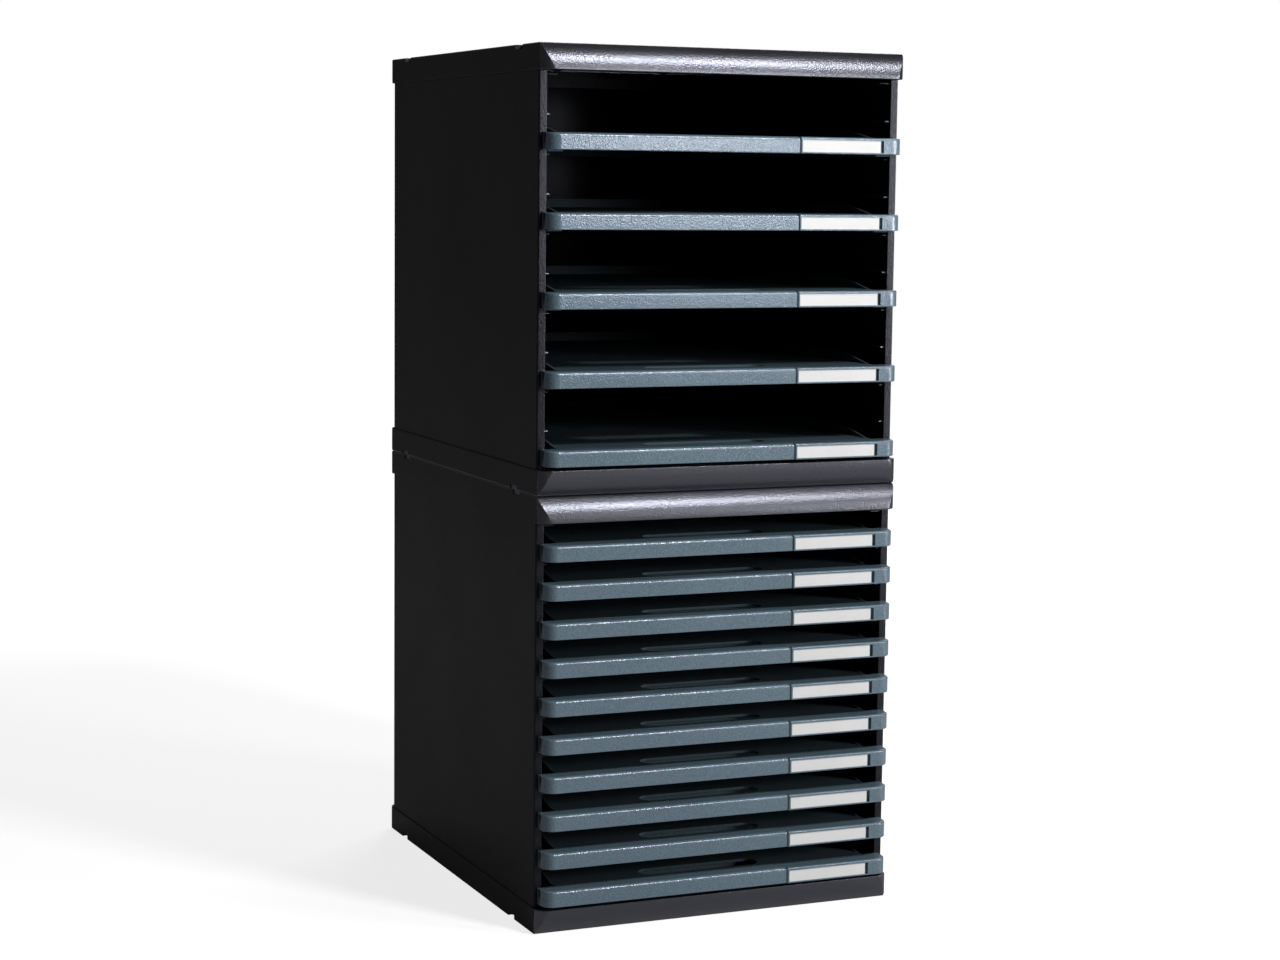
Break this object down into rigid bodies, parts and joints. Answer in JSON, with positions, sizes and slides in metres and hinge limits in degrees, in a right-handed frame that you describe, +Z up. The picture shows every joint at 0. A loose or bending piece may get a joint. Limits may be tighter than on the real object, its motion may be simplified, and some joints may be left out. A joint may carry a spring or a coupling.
{
  "type": "letter tray stack with drawers",
  "caption": "Two black tray cabinets clipped one on the other, with slate blue-grey letter trays above and closely spaced paper drawers below, each with a label holder.",
  "frame": {"origin": "centre of the footprint at the underside of the lower cabinet", "axes": "+Z up; -Y towards the front, the way the trays slide out; +X to the right seen from the front"},
  "size_m": [0.288, 0.3542, 0.64],
  "materials": {
    "casing_black": "fine-grained satin",
    "tray_slate": "fine-grained satin",
    "label_paper": "matte"
  },
  "bodies": {
    "cabinet": {"lower_base_cap": "casing_black", "lower_lid_cap": "casing_black", "lower_right_side": "casing_black", "lower_left_side": "casing_black", "lower_back_panel": "casing_black", "upper_base_cap": "casing_black", "upper_lid_cap": "casing_black", "upper_right_side": "casing_black", "upper_left_side": "casing_black", "upper_back_panel": "casing_black", "clip_left_front": "casing_black", "clip_left_rear": "casing_black", "clip_right_front": "casing_black", "clip_right_rear": "casing_black"},
    "tray_1": {"upper_tray_1": "tray_slate", "upper_label_1": "label_paper"},
    "tray_2": {"upper_tray_2": "tray_slate", "upper_label_2": "label_paper"},
    "tray_3": {"upper_tray_3": "tray_slate", "upper_label_3": "label_paper"},
    "tray_4": {"upper_tray_4": "tray_slate", "upper_label_4": "label_paper"},
    "tray_5": {"upper_tray_5": "tray_slate", "upper_label_5": "label_paper"},
    "drawer_01": {"lower_drawer_01": "tray_slate", "lower_label_01": "label_paper"},
    "drawer_02": {"lower_drawer_02": "tray_slate", "lower_label_02": "label_paper"},
    "drawer_03": {"lower_drawer_03": "tray_slate", "lower_label_03": "label_paper"},
    "drawer_04": {"lower_drawer_04": "tray_slate", "lower_label_04": "label_paper"},
    "drawer_05": {"lower_drawer_05": "tray_slate", "lower_label_05": "label_paper"},
    "drawer_06": {"lower_drawer_06": "tray_slate", "lower_label_06": "label_paper"},
    "drawer_07": {"lower_drawer_07": "tray_slate", "lower_label_07": "label_paper"},
    "drawer_08": {"lower_drawer_08": "tray_slate", "lower_label_08": "label_paper"},
    "drawer_09": {"lower_drawer_09": "tray_slate", "lower_label_09": "label_paper"},
    "drawer_10": {"lower_drawer_10": "tray_slate", "lower_label_10": "label_paper"}
  },
  "joints": [
    {"name": "tray_1_slide", "type": "slide", "parent": "cabinet", "child": "tray_1", "axis": [0, -1, 0], "range_m": [0, 0.24]},
    {"name": "tray_2_slide", "type": "slide", "parent": "cabinet", "child": "tray_2", "axis": [0, -1, 0], "range_m": [0, 0.24]},
    {"name": "tray_3_slide", "type": "slide", "parent": "cabinet", "child": "tray_3", "axis": [0, -1, 0], "range_m": [0, 0.24]},
    {"name": "tray_4_slide", "type": "slide", "parent": "cabinet", "child": "tray_4", "axis": [0, -1, 0], "range_m": [0, 0.24]},
    {"name": "tray_5_slide", "type": "slide", "parent": "cabinet", "child": "tray_5", "axis": [0, -1, 0], "range_m": [0, 0.24]},
    {"name": "drawer_01_slide", "type": "slide", "parent": "cabinet", "child": "drawer_01", "axis": [0, -1, 0], "range_m": [0, 0.24]},
    {"name": "drawer_02_slide", "type": "slide", "parent": "cabinet", "child": "drawer_02", "axis": [0, -1, 0], "range_m": [0, 0.24]},
    {"name": "drawer_03_slide", "type": "slide", "parent": "cabinet", "child": "drawer_03", "axis": [0, -1, 0], "range_m": [0, 0.24]},
    {"name": "drawer_04_slide", "type": "slide", "parent": "cabinet", "child": "drawer_04", "axis": [0, -1, 0], "range_m": [0, 0.24]},
    {"name": "drawer_05_slide", "type": "slide", "parent": "cabinet", "child": "drawer_05", "axis": [0, -1, 0], "range_m": [0, 0.24]},
    {"name": "drawer_06_slide", "type": "slide", "parent": "cabinet", "child": "drawer_06", "axis": [0, -1, 0], "range_m": [0, 0.24]},
    {"name": "drawer_07_slide", "type": "slide", "parent": "cabinet", "child": "drawer_07", "axis": [0, -1, 0], "range_m": [0, 0.24]},
    {"name": "drawer_08_slide", "type": "slide", "parent": "cabinet", "child": "drawer_08", "axis": [0, -1, 0], "range_m": [0, 0.24]},
    {"name": "drawer_09_slide", "type": "slide", "parent": "cabinet", "child": "drawer_09", "axis": [0, -1, 0], "range_m": [0, 0.24]},
    {"name": "drawer_10_slide", "type": "slide", "parent": "cabinet", "child": "drawer_10", "axis": [0, -1, 0], "range_m": [0, 0.24]}
  ]
}
